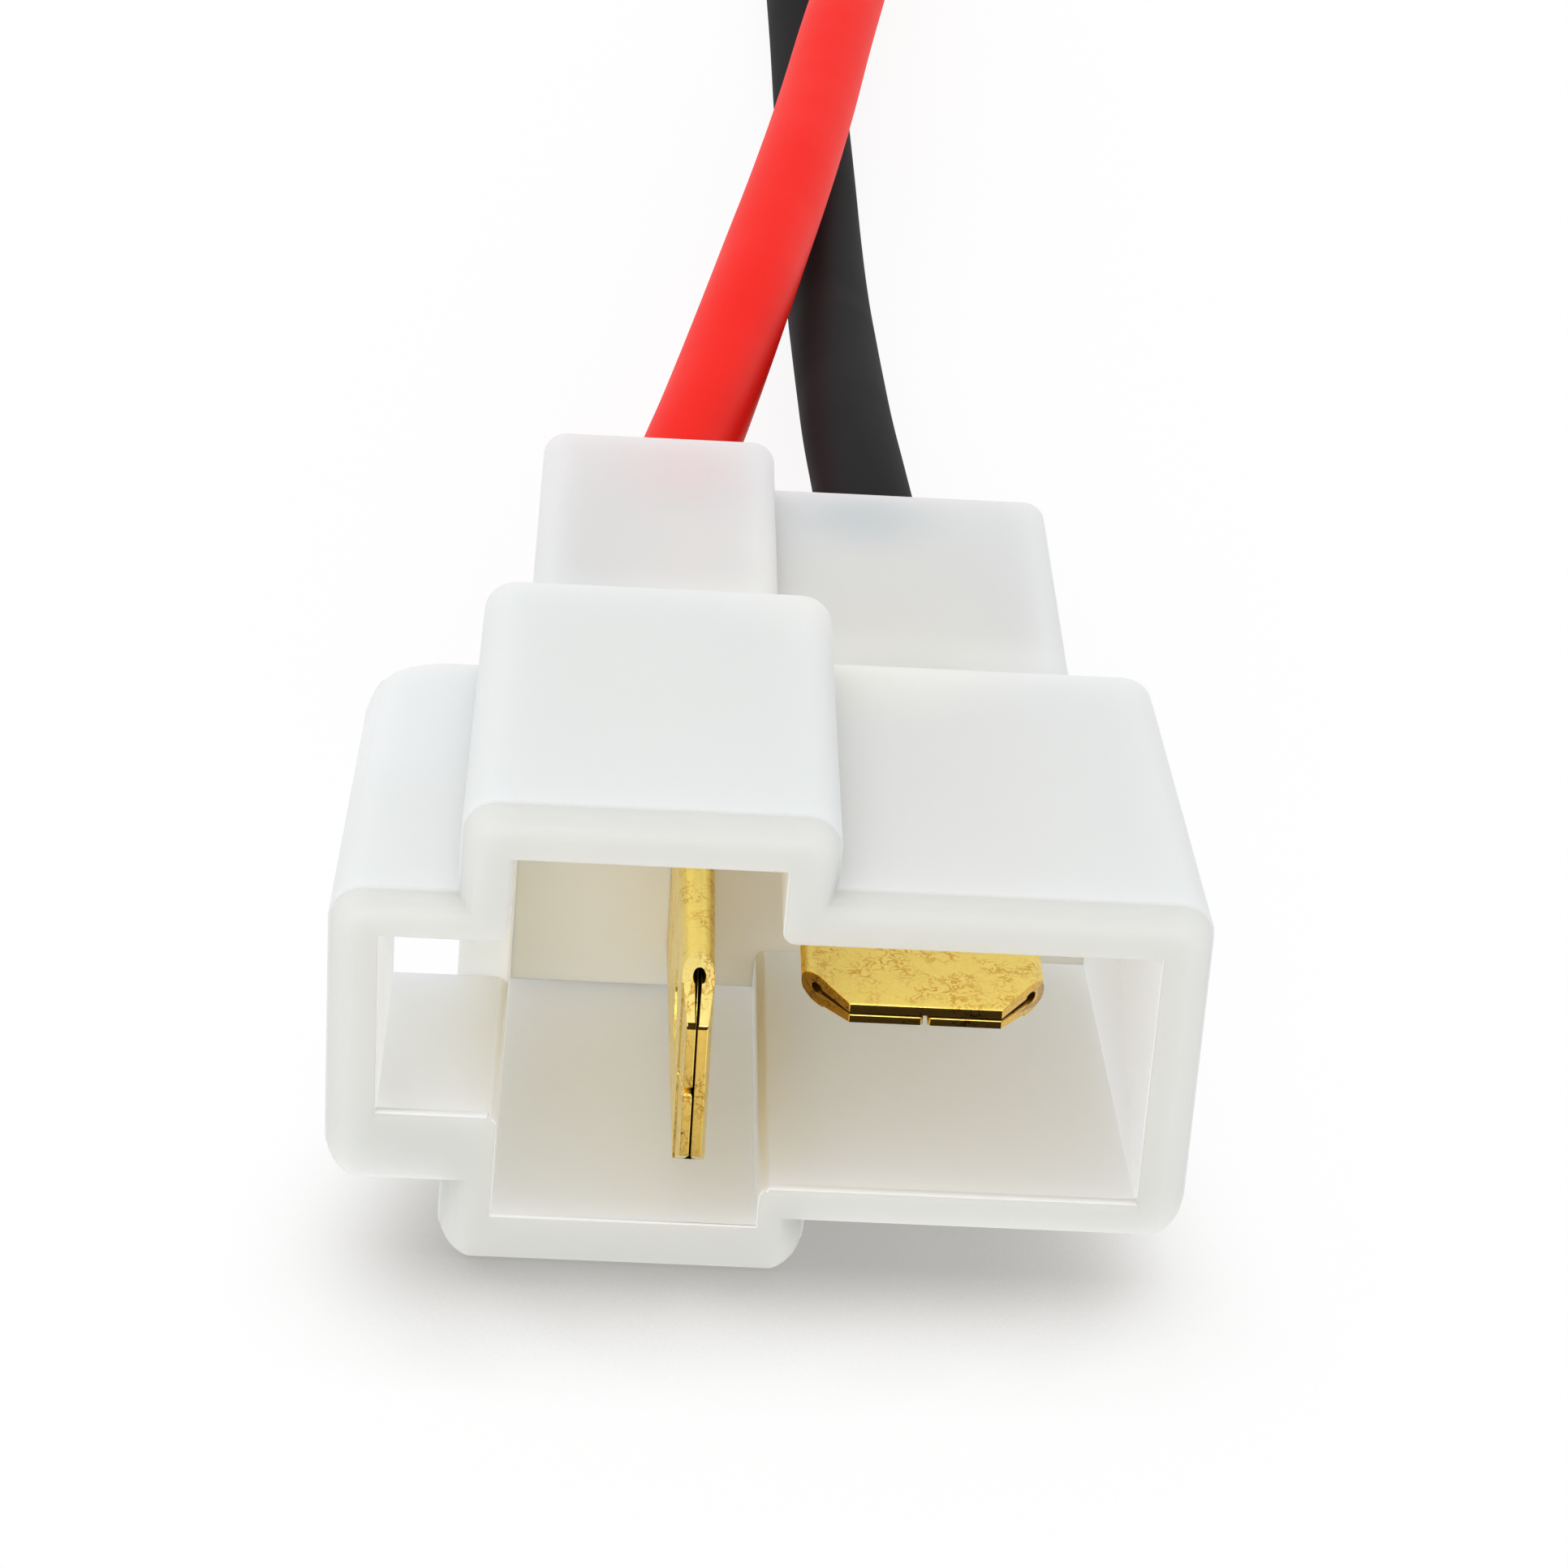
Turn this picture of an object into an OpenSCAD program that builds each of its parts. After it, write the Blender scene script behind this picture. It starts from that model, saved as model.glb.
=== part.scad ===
// Two-pole rectangular pigtail connector.
// A moulded socket housing holds an upright and a flat tab terminal, each crimped to a lead.
// Millimetres. X runs across the mating face, Y from the mating face to the leads, Z up.
// The origin is under the middle of the housing, on the surface that it rests on.

/* [Socket shell] */
// Depth of the socket shell, from its rim to its rear
shell_depth = 13.8; // [12.5:0.1:17]
// Thickness of the shell's walls
wall = 1.35; // [1.1:0.05:1.6]
// Thickness of the wall behind the socket
back_wall = 1.2; // [0.8:0.1:2]
// Rounding of the rim's outer edge on top and at the sides
rim_radius = 0.7; // [0.3:0.05:0.9]
// Step from the textured faces down to the polished rim
rim_step = 0.05; // [0.02:0.01:0.1]
// Rise of the rim's underside at the front, over the same depth
under_rise = 0.1; // [0.05:0.05:0.3]
// Rounding of the shell's long edges
edge_radius = 0.9; // [0.6:0.05:1]
// Rounding of the ridges inside the socket
ridge_radius = 0.35; // [0.1:0.05:0.45]
// Lean of the right wall between the rim and the rear
right_lean = 0.5; // [0:0.1:0.8]
// Lean of the left edge between the rim and the rear
left_lean = 0.2; // [0:0.1:0.4]

/* [Centre bay of the socket] */
// Inside width of the tall centre bay
centre_width = 6.9; // [6.9:0.1:9]
// Inside height of the tall centre bay
centre_height = 10.5; // [10.2:0.1:13]
// Sideways lean of the centre bay's walls between its ceiling and its floor
centre_lean = 0.25; // [0:0.05:0.4]

/* [Right wing of the socket] */
// Inside width of the right wing
wing_width = 9.6; // [9.6:0.1:12]
// Inside height of the right wing
wing_height = 7.25; // [7.1:0.05:8]
// Step up from the centre floor to the wing floor
wing_step = 1.2; // [0.8:0.1:1.5]
// Thickness of the wing's floor
wing_base = 1.0; // [0.8:0.05:1.2]

/* [Latch bay] */
// Inside width of the latch bay
bay_width = 3.3; // [2.8:0.1:4.5]
// Inside height of the latch bay
bay_height = 5.15; // [4:0.05:5.6]
// Step up from the centre floor to the bay floor
bay_step = 3.0; // [2.4:0.1:3.4]
// Thickness of the bay's floor
bay_base = 2.05; // [1.2:0.05:2.3]
// Thickness of the bay's roof
bay_roof = 1.1; // [0.9:0.05:1.3]
// Depth of the bay's floor, whose rear edge is the catch
bay_depth = 7.3; // [6:0.1:9]
// Rounding of the roof's free rear corner, seen from above
roof_corner = 2.4; // [0.8:0.1:2.6]

/* [Terminal sleeves] */
// Length of the sleeves behind the shell
sleeve_length = 14.6; // [13.6:0.1:18]
// Thickness of the sleeves' walls
sleeve_wall = 0.8; // [0.6:0.05:0.9]
// Rounding of the sleeves' long edges
sleeve_radius = 0.7; // [0.3:0.05:1]
// Outside width of the left sleeve
left_sleeve_width = 7.05; // [6.8:0.05:7.8]
// Outside height of the left sleeve
left_sleeve_height = 11.5; // [10:0.1:12]
// Outside width of the right sleeve
right_sleeve_width = 8.45; // [8.2:0.05:10]
// Outside height of the right sleeve
right_sleeve_height = 8.4; // [8.3:0.05:9]

/* [Tab terminals] */
// Thickness of the brass strip, half of the folded tab's
strip = 0.4; // [0.35:0.01:0.42]
// Width of the tab
tab_width = 6.3; // [5.6:0.1:6.5]
// Distance of the tip behind the rim
tab_setback = 0.3; // [0.1:0.1:0.8]
// Distance from the tab's outer face to the nearest socket wall
tab_to_wall = 1.65; // [1.6:0.05:1.9]
// Height of the upright tab's lower edge above the centre floor
tab_to_floor = 0.7; // [0.5:0.05:0.9]
// Distance from the flat tab's left edge to the centre bay
tab_to_side = 0.6; // [0.5:0.05:0.9]
// Width of the tip's corner cuts
tip_cut_width = 1.2; // [0.8:0.05:1.8]
// Length of the tip's corner cuts
tip_cut_length = 1.75; // [1:0.05:2.4]
// Amount that each face is coined down at the tip
coin_depth = 0.12; // [0.05:0.01:0.2]
// Length of the coined tip
coin_length = 1; // [0.6:0.1:1.5]
// Diameter of the detent hole
detent_diameter = 2.1; // [1.5:0.1:2.4]
// Distance from the tip to the middle of the detent hole
detent_setback = 4.2; // [3:0.1:5]
// Gap between the folded layers
layer_gap = 0.08; // [0.04:0.01:0.1]
// Amount that the folded layer stands off at the blade's root
splay = 0.3; // [0:0.05:0.4]
// Diameter of the bore left inside each fold
fold_bore = 0.28; // [0.1:0.02:0.34]
// Gap between the two folded edges on the tab's inner face
seam_gap = 0.12; // [0.05:0.01:0.2]
// Width of the nick where the seam meets the tip
nick_width = 0.36; // [0.24:0.02:0.6]
// Height of the channel behind the blade
channel_height = 2.1; // [1.6:0.1:2.3]
// Length of the channel
channel_length = 4; // [3.6:0.1:4.6]
// Width of the locking lance
lance_width = 2.4; // [1.8:0.1:3]
// Length of the locking lance
lance_length = 2.6; // [2:0.1:2.8]
// Rise of the lance's free end above the strip
lance_rise = 0.7; // [0.4:0.05:0.75]
// Length of the crimp on the conductor
core_crimp_length = 3.2; // [2.6:0.1:3.6]
// Length of the crimp on the lead's sheath
sheath_crimp_length = 3; // [2.4:0.1:3.4]

/* [Leads] */
// Outside diameter of the leads
lead_diameter = 3.2; // [2.6:0.1:3.3]
// Diameter of the stranded conductor
core_diameter = 2; // [1.4:0.1:2.2]
// Length of the bared far end
bare_length = 7; // [4:1:12]

/* [Clearances] */
// Gap around a terminal in its cell
cell_clearance = 0.1; // [0.05:0.01:0.15]
// Gap between a lead and its crimp
crimp_clearance = 0.05; // [0.02:0.01:0.08]

/* [Hidden] */
$fn = 48;

// Overshoot of cuts past the faces that they open
over = 1;
// Smallest corner left where the rim's rounding meets the edge's
least_radius = 0.05;
// Sides of a lead's tube
tube_sides = 8;

// Places across the mating face, from left to right
socket_width = 2 * wall + bay_width + centre_width + wing_width;
left = -socket_width / 2;
bay_left = left + wall;
centre_left = bay_left + bay_width;
centre_right = centre_left + centre_width;
wing_right = centre_right + wing_width;
right = wing_right + wall;

// Heights above the surface
centre_floor = wall;
centre_ceiling = centre_floor + centre_height;
centre_top = centre_ceiling + wall;
wing_floor = centre_floor + wing_step;
wing_ceiling = wing_floor + wing_height;
wing_top = wing_ceiling + wall;
wing_bottom = wing_floor - wing_base;
bay_floor = centre_floor + bay_step;
bay_ceiling = bay_floor + bay_height;
bay_top = bay_ceiling + bay_roof;
bay_bottom = bay_floor - bay_base;

// Distances behind the rim
socket_depth = shell_depth - back_wall;
housing_length = shell_depth + sleeve_length;

// The terminals' places: the outer face of the strip and the middle of its width
upright_x = centre_right - tab_to_wall;
upright_z = centre_floor + tab_to_floor + tab_width / 2;
flat_x = centre_right + tab_to_side + tab_width / 2;
flat_z = wing_ceiling - tab_to_wall;

// Along a terminal, from its tip; the channel's front end stops against the back wall
tab_thickness = 2 * strip;
root_thickness = tab_thickness + splay;
blade_length = shell_depth + cell_clearance - tab_setback;
channel_end = blade_length + channel_length;
taper_length = 0.9;
neck_length = 0.8;
neck_half = 1.2;
core_crimp_start = channel_end + neck_length;
core_crimp_end = core_crimp_start + core_crimp_length;
bridge_length = 0.7;
sheath_crimp_start = core_crimp_end + bridge_length;
sheath_crimp_end = sheath_crimp_start + sheath_crimp_length;
lance_root = 0.6;
lance_start = blade_length + lance_root;
lance_end = lance_start + lance_length;

// The lead's axis below the strip's outer face, and the crimped core's rounded section
lead_radius = lead_diameter / 2;
core_radius = core_diameter / 2;
lead_axis = lead_radius + crimp_clearance + strip;
core_squash = 0.75 * core_radius;
core_spread = 0.55 * core_radius;
brush_length = 0.2;
loosening = 0.3;
wing_gap = 0.24;

// The cells: what a terminal passes on its way in from the rear
slot_width = tab_width + 2 * cell_clearance;
slot_depth = channel_height + cell_clearance;
window_reach = 1.7;
window_sill = 0.1;
window_radius = 0.5;
relief_width = 1.15;
relief_depth = 0.7;
// It reaches to the left sleeve's inner wall
window_depth = upright_x - (centre_right - left_sleeve_width + sleeve_wall);
pocket_height = 0.85;
shoulder = 1.2;
pocket_end = tab_setback + lance_end + cell_clearance;
guide_end = pocket_end + shoulder;

// Where a lead's sheath starts, just ahead of its crimp
sheath_lip = 0.2;
sheath_front = sheath_crimp_start - sheath_lip;
lead_start = tab_setback + sheath_front - housing_length / 2;
red_x = upright_x - lead_axis;
red_z = upright_z;
black_x = flat_x;
black_z = flat_z - lead_axis;

// The leads' routes: straight out of the sleeves, the red one over the black one, then down
red_route = [
    [red_x, lead_start, red_z], [red_x, lead_start + 4, red_z], [-3.3, 15, 5.1], [-3, 20, 5.1],
    [-2.4, 26, 5.1], [-1.5, 32, 5.1], [-0.5, 39, 5.1], [0.6, 47, 5.1], [1.8, 56, 5],
    [2.9, 65, 4.9], [4, 75, 4.8], [5.2, 86, 4.4], [6.1, 96, 3.8], [6.7, 106, 3],
    [6.9, 116, 2.2], [6.9, 126, 1.7], [6.7, 136, 1.6], [6.5, 146, 1.6], [6.5, 157, 1.6]];
black_route = [
    [black_x, lead_start, black_z], [black_x, lead_start + 4, black_z], [4, 15, 6.1], [3.8, 20, 5.9],
    [3.6, 26, 5.3], [3.45, 32, 4.5], [3.4, 38, 3.6], [3.35, 44, 2.8], [3.3, 50, 2.1],
    [3.25, 57, 1.7], [3.2, 65, 1.6], [3.1, 75, 1.6], [3, 86, 1.6], [2.8, 97, 1.6],
    [2.4, 108, 1.6], [1.9, 119, 1.6], [1.3, 130, 1.6], [0.8, 140, 1.6], [0.5, 149, 1.6],
    [0.5, 157, 1.6]];

// Extrudes a drawing of X and Z along Y
module along_y(from, to)
    translate([0, to, 0])
        rotate([90, 0, 0])
            linear_extrude(to - from)
                children();

// Extrudes a drawing of Y and Z along X, evenly about the middle
module along_x(width)
    translate([-width / 2, 0, 0])
        rotate([90, 0, 90])
            linear_extrude(width)
                children();

// Moves what is measured from the rim to its place about the origin
module from_rim()
    translate([0, -housing_length / 2, 0])
        children();

// Puts a terminal, or the cell cut for one, in the centre bay on its edge
module upright_place()
    translate([upright_x, 0, upright_z])
        rotate([0, 90, 0])
            children();

// Puts a terminal, or the cell cut for one, flat in the right wing
module flat_place()
    translate([flat_x, 0, flat_z])
        children();

// Sideways place of the centre bay's walls at one height, counted from the ceiling
function lean_at(z) = -centre_lean * (centre_ceiling - z) / centre_height;

// A solid through rings of points that each go the same way round, from the first to the last
function loft_faces(rings, sides) = concat(
    [[for (k = [sides - 1 : -1 : 0]) k]],
    [[for (k = [0 : sides - 1]) (rings - 1) * sides + k]],
    [for (i = [0 : rings - 2]) for (k = [0 : sides - 1])
        let (a = i * sides + k, b = i * sides + (k + 1) % sides)
        each [[a, b, b + sides], [a, b + sides, a + sides]]]);

module loft(rings)
    polyhedron([for (ring = rings) each ring], loft_faces(len(rings), len(rings[0])), convexity = 4);

// A ring of points round a rounded rectangle, whose foot may be set sideways
function corner_arc(x, y, z, r, from) =
    [for (turn = [0 : 15 : 90]) [x + r * cos(from + turn), y, z + r * sin(from + turn)]];
function rounded_ring(x0, x1, z0, z1, y, r, foot = 0) = concat(
    corner_arc(x1 - r, y, z1 - r, r, 0),
    corner_arc(x0 + r, y, z1 - r, r, 90),
    corner_arc(x0 + r + foot, y, z0 + r, r, 180),
    corner_arc(x1 - r + foot, y, z0 + r, r, 270));

// One ring of the shell's rim, which is set in by an amount on top and at the sides
function rim_ring(x0, x1, z0, z1, y, inset, foot) =
    rounded_ring(x0 + inset, x1 - inset, z0 + inset * under_rise / rim_radius, z1 - inset, y,
                 max(edge_radius - inset, least_radius), foot);

// One block of the shell: a rounded rim in front, a small step, and sides that lean in towards the rear
module shell_block(x0, x1, z0, z1, lean_left = 0, lean_right = 0, foot = 0)
    loft(concat(
        [for (turn = [0 : 15 : 90])
            rim_ring(x0, x1, z0, z1, rim_radius * (1 - cos(turn)), rim_step + rim_radius * (1 - sin(turn)),
                     foot)],
        [rim_ring(x0, x1, z0, z1, rim_radius + rim_step, 0, foot)],
        [rim_ring(x0 + lean_left, x1 - lean_right, z0, z1, shell_depth, 0, foot)]));

// A sleeve: a rounded rectangular tube's outside, rooted in the back wall
module sleeve_block(x0, x1, z0, z1)
    along_y(socket_depth, housing_length)
        rounded_rectangle(x0, x1, z0, z1, sleeve_radius);

module rounded_rectangle(x0, x1, z0, z1, r) {
    translate([x0 + r, z0])
        square([x1 - x0 - 2 * r, z1 - z0]);
    translate([x0, z0 + r])
        square([x1 - x0, z1 - z0 - 2 * r]);
    for (x = [x0 + r, x1 - r])
        for (z = [z0 + r, z1 - r])
            translate([x, z])
                circle(r = r);
}

module box(x0, x1, y0, y1, z0, z1)
    translate([x0, y0, z0])
        cube([x1 - x0, y1 - y0, z1 - z0]);

// The right wing's hollow, whose right side leans with the wall
module wing_hollow() {
    lean_at_mouth = right_lean * over / shell_depth;
    lean_at_back = right_lean * socket_depth / shell_depth;
    translate([0, 0, wing_floor])
        linear_extrude(wing_height)
            polygon([
                [centre_right - over, -over],
                [wing_right + lean_at_mouth, -over],
                [wing_right - lean_at_back, socket_depth],
                [centre_right - over, socket_depth]]);
}

// Rounds a ridge that runs into the socket; the signs point from the ridge into the wall
module ridge_round(x, z, into_x, into_z, depth)
    along_y(-over, depth)
        translate([x + lean_at(z), z])
            scale([into_x, into_z])
                difference() {
                    translate([-least_radius, -least_radius])
                        square(ridge_radius + least_radius);
                    translate([ridge_radius, ridge_radius])
                        circle(r = ridge_radius);
                }

// The hollows that the mating plug and its latch go into
module socket_hollow() {
    along_y(-over, socket_depth)
        polygon([
            [centre_left, centre_ceiling], [centre_right, centre_ceiling],
            [centre_right - centre_lean, centre_floor], [centre_left - centre_lean, centre_floor]]);
    box(bay_left, centre_left + over, -over, bay_depth, bay_floor, bay_ceiling);
    wing_hollow();
    ridge_round(centre_left, bay_ceiling, -1, 1, bay_depth);
    ridge_round(centre_left, bay_floor, -1, -1, bay_depth);
    ridge_round(centre_right, wing_ceiling, 1, 1, socket_depth);
    ridge_round(centre_right, wing_floor, 1, -1, socket_depth);
}

// The latch bay's block: behind its floor it is only a roof, with a rounded free corner
module bay_block() {
    corner_x = left + left_lean * (shell_depth - roof_corner) / shell_depth;
    difference() {
        shell_block(left, centre_right, bay_bottom, bay_top, lean_left = left_lean);
        box(left - over, centre_right + over, bay_depth, shell_depth + over, -over, bay_ceiling);
        translate([corner_x, shell_depth - roof_corner, bay_ceiling - over])
            linear_extrude(bay_roof + 2 * over)
                difference() {
                    translate([-over, 0])
                        square(roof_corner + over);
                    translate([roof_corner, 0])
                        circle(r = roof_corner);
                }
    }
}

// A terminal's way through the housing, drawn in the terminal's own place:
// a slit in the back wall with a shallow relief beside it, the channel's cell behind the wall,
// the lance's pocket, and a cored window
module terminal_cell() {
    front = socket_depth - over;
    rear = guide_end + over;
    slit = root_thickness + cell_clearance;
    box(-slot_width / 2, slot_width / 2, front, shell_depth + over, -slit, cell_clearance);
    box(-slot_width / 2, slot_width / 2, front, socket_depth + relief_depth, -slit - relief_width, 0);
    box(-slot_width / 2, slot_width / 2, shell_depth, rear, -slot_depth, cell_clearance);
    box(-lance_width / 2 - cell_clearance, lance_width / 2 + cell_clearance, shell_depth, pocket_end,
        0, pocket_height);
    along_y(front, rear)
        rounded_rectangle(-slot_width / 2, window_reach, -window_depth, -slot_depth - window_sill,
                          window_radius);
}

module sleeve_bores() {
    rear = housing_length + over;
    box(centre_right - left_sleeve_width + sleeve_wall, centre_right - sleeve_wall, guide_end, rear,
        sleeve_wall, left_sleeve_height - sleeve_wall);
    box(flat_x - slot_width / 2, centre_right + right_sleeve_width - sleeve_wall, guide_end, rear,
        wing_bottom + sleeve_wall, wing_bottom + right_sleeve_height - sleeve_wall);
}

// The one-piece moulded housing
module housing()
    color("ghostwhite")
        from_rim()
            difference() {
                union() {
                    bay_block();
                    shell_block(centre_left - wall, centre_right + wall, 0, centre_top,
                                foot = lean_at(0) - lean_at(centre_top));
                    shell_block(centre_left, right, wing_bottom, wing_top, lean_right = right_lean);
                    sleeve_block(centre_right - left_sleeve_width, centre_right, 0, left_sleeve_height);
                    sleeve_block(centre_right - left_sleeve_width / 2, centre_right + right_sleeve_width,
                                 wing_bottom, wing_bottom + right_sleeve_height);
                }
                socket_hollow();
                upright_place()
                    terminal_cell();
                flat_place()
                    terminal_cell();
                sleeve_bores();
            }

// The folded strip before its tip is cut: the lower layer stands off towards the root
module folded_strip()
    loft([
        rounded_ring(-tab_width / 2, tab_width / 2, -tab_thickness - layer_gap / 4, 0, 0, strip),
        rounded_ring(-tab_width / 2, tab_width / 2, -root_thickness - layer_gap / 4, 0, blade_length, strip)]);

// The blade: one strip with both edges folded under until they meet along the middle
module blade() {
    half = tab_width / 2;
    slit_end = blade_length - strip;
    difference() {
        intersection() {
            folded_strip();
            translate([0, 0, -root_thickness - over])
                linear_extrude(root_thickness + 2 * over)
                    polygon([
                        [-half, blade_length], [-half, tip_cut_length], [-half + tip_cut_width, 0],
                        [half - tip_cut_width, 0], [half, tip_cut_length], [half, blade_length]]);
            along_x(tab_width + over)
                polygon([
                    [0, -coin_depth], [coin_length, 0], [coin_length, over], [blade_length, over],
                    [blade_length, -root_thickness - over], [coin_length, -root_thickness - over],
                    [coin_length, -tab_thickness], [0, coin_depth - tab_thickness]]);
        }
        along_x(tab_width - tab_thickness)
            polygon([
                [-over, -strip + layer_gap / 2], [slit_end, -strip + layer_gap / 2],
                [slit_end, -strip - layer_gap / 2 - splay], [-over, -strip - layer_gap / 2]]);
        for (x = [strip - half, half - strip])
            along_y(-over, slit_end)
                translate([x, -strip])
                    circle(d = fold_bore);
        box(-seam_gap / 2, seam_gap / 2, -over, slit_end, -root_thickness - over, -strip);
        translate([0, 0, -tab_thickness - over])
            linear_extrude(strip + over)
                polygon([[-nick_width, -nick_width], [nick_width, -nick_width], [0, nick_width / 2]]);
        translate([0, detent_setback, -root_thickness - over])
            cylinder(d = detent_diameter, h = root_thickness + 2 * over);
    }
}

// The channel that guides the terminal in its cell, with the lance sheared out of its floor
module channel() {
    half = tab_width / 2;
    taper_start = channel_end - taper_length;
    difference() {
        intersection() {
            along_y(blade_length, channel_end)
                difference() {
                    union() {
                        translate([-half + strip, -channel_height])
                            square([tab_width - tab_thickness, channel_height]);
                        translate([-half, -channel_height])
                            square([tab_width, channel_height - strip]);
                        for (x = [-half + strip, half - strip])
                            translate([x, -strip])
                                circle(r = strip);
                    }
                    translate([-half + strip, -channel_height - over])
                        square([tab_width - tab_thickness, channel_height + over - strip]);
                }
            translate([0, 0, -channel_height])
                linear_extrude(channel_height)
                    polygon([
                        [-half, blade_length], [half, blade_length], [half, taper_start],
                        [neck_half, channel_end], [-neck_half, channel_end], [-half, taper_start]]);
        }
        box(-lance_width / 2 - strip / 2, lance_width / 2 + strip / 2,
            lance_start + strip, lance_end + strip / 2, -strip - over, over);
    }
    along_x(lance_width)
        polygon([
            [lance_start - strip, -strip], [lance_start - strip, 0], [lance_start, 0],
            [lance_end, lance_rise], [lance_end, lance_rise - strip], [lance_start + strip, -strip]]);
}

// The strip from the channel down to the conductor crimp and up again to the sheath crimp
module neck() {
    crimp_top = -lead_axis + core_squash + strip;
    along_x(2 * neck_half)
        polygon([
            [channel_end - strip, 0], [channel_end, 0], [core_crimp_start, crimp_top],
            [core_crimp_end, crimp_top], [sheath_crimp_start, 0], [sheath_crimp_end, 0],
            [sheath_crimp_end, -strip], [sheath_crimp_start, -strip], [core_crimp_end, crimp_top - strip],
            [core_crimp_start, crimp_top - strip], [channel_end, -strip], [channel_end - strip, -strip]]);
}

// Section of the strands squeezed in the conductor crimp
module squeezed_core(grow = 0)
    translate([0, -lead_axis]) {
        translate([-core_spread, -core_squash - grow])
            square([2 * core_spread, 2 * (core_squash + grow)]);
        for (x = [-core_spread, core_spread])
            translate([x, 0])
                circle(r = core_squash + grow);
    }

// The conductor crimp: two wings rolled in until they meet in a groove
module core_crimp()
    along_y(core_crimp_start, core_crimp_end)
        difference() {
            squeezed_core(strip);
            squeezed_core();
            translate([0, -lead_axis - core_squash - strip])
                circle(r = strip / 2);
        }

// The sheath crimp: two wings wrapped round the lead
module sheath_crimp()
    along_y(sheath_crimp_start, sheath_crimp_end)
        difference() {
            translate([0, -lead_axis])
                circle(r = lead_axis);
            translate([0, -lead_axis])
                circle(r = lead_radius + crimp_clearance);
            translate([-wing_gap / 2, -2 * lead_axis - over])
                square([wing_gap, lead_axis + over]);
        }

// A terminal from its tip, with the strip's outer face on Z = 0
module terminal() {
    blade();
    channel();
    crimps();
}

// Both crimps on the strip that joins them
module crimps() {
    difference() {
        neck();
        along_y(core_crimp_start - over, core_crimp_end + over)
            squeezed_core();
        along_y(sheath_crimp_start - over, sheath_crimp_end + over)
            translate([0, -lead_axis])
                circle(r = lead_radius + crimp_clearance);
    }
    core_crimp();
    sheath_crimp();
}

module upright_terminal()
    color("goldenrod")
        from_rim()
            upright_place()
                translate([0, tab_setback, 0])
                    terminal();

module flat_terminal()
    color("goldenrod")
        from_rim()
            flat_place()
                translate([0, tab_setback, 0])
                    terminal();

// A lead's tube: one ring of points at each point of its route
function unit(v) = v / norm(v);
function heading(route, i) =
    unit(route[min(i + 1, len(route) - 1)] - route[max(i - 1, 0)]);
function tube_ring(route, i) =
    let (ahead = heading(route, i), side = unit(cross(ahead, [0, 0, 1])), up = cross(side, ahead))
    [for (k = [0 : tube_sides - 1])
        let (turn = 360 * (k + 0.5) / tube_sides)
        route[i] + lead_radius * (cos(turn) * side + sin(turn) * up)];

module lead(route)
    loft([for (i = [0 : len(route) - 1]) tube_ring(route, i)]);

// The strands ahead of the sheath, in the terminal's own place
module crimped_strands() {
    along_y(core_crimp_start - brush_length, core_crimp_end + loosening)
        squeezed_core();
    along_y(core_crimp_end + loosening, sheath_front)
        translate([0, -lead_axis])
            circle(r = core_radius);
}

// The strands bared at the far end of a lead
module bared_strands(route)
    translate(route[len(route) - 1])
        rotate([-90, 0, 0])
            cylinder(r = core_radius, h = bare_length);

module red_lead()
    color("red")
        lead(red_route);

module red_conductor()
    color("peru") {
        from_rim()
            upright_place()
                translate([0, tab_setback, 0])
                    crimped_strands();
        bared_strands(red_route);
    }

module black_lead()
    color("#1c1c1e")
        lead(black_route);

module black_conductor()
    color("peru") {
        from_rim()
            flat_place()
                translate([0, tab_setback, 0])
                    crimped_strands();
        bared_strands(black_route);
    }

housing();
upright_terminal();
flat_terminal();
red_lead();
red_conductor();
black_lead();
black_conductor();
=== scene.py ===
import bpy
import bmesh
from math import radians, pi, cos, sin
from mathutils import Matrix, Vector


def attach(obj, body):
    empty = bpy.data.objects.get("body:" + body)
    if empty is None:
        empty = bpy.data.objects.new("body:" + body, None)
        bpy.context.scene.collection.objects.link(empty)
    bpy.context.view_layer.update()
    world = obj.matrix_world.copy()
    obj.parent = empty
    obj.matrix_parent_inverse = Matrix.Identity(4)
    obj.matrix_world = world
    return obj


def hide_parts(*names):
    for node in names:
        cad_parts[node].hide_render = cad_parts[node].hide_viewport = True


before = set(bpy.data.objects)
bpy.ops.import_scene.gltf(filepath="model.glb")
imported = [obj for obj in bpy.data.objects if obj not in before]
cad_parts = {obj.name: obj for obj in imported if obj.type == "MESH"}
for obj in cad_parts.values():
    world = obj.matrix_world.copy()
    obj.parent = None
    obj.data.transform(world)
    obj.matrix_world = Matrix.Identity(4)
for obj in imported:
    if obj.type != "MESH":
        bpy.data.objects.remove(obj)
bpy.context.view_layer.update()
scene = bpy.context.scene
scene.cycles.diffuse_bounces = 10  # light crosses the milky walls many times
mm = 0.001
print("frame loaded", sorted(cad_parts))


# sRGB hex to linear, for every colour in the file
def colour(hexText):
    parts = [int(hexText[i:i + 2], 16) / 255 for i in (1, 3, 5)]
    return [c / 12.92 if c <= 0.04045 else ((c + 0.055) / 1.055) ** 2.4 for c in parts] + [1.0]


# adds a node: settings are its properties, values its unlinked inputs, links its linked inputs
def addNode(tree, kind, settings=None, values=None, links=None):
    made = tree.nodes.new(kind)
    for name, value in (settings or {}).items():
        setattr(made, name, value)
    for name, value in (values or {}).items():
        made.inputs[name].default_value = value
    for name, source in (links or {}).items():
        tree.links.new(source, made.inputs[name])
    return made


# a new material and its emptied node tree
def newMaterial(name):
    made = bpy.data.materials.new(name)
    made.use_nodes = True
    made.node_tree.nodes.clear()
    return made, made.node_tree


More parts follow.
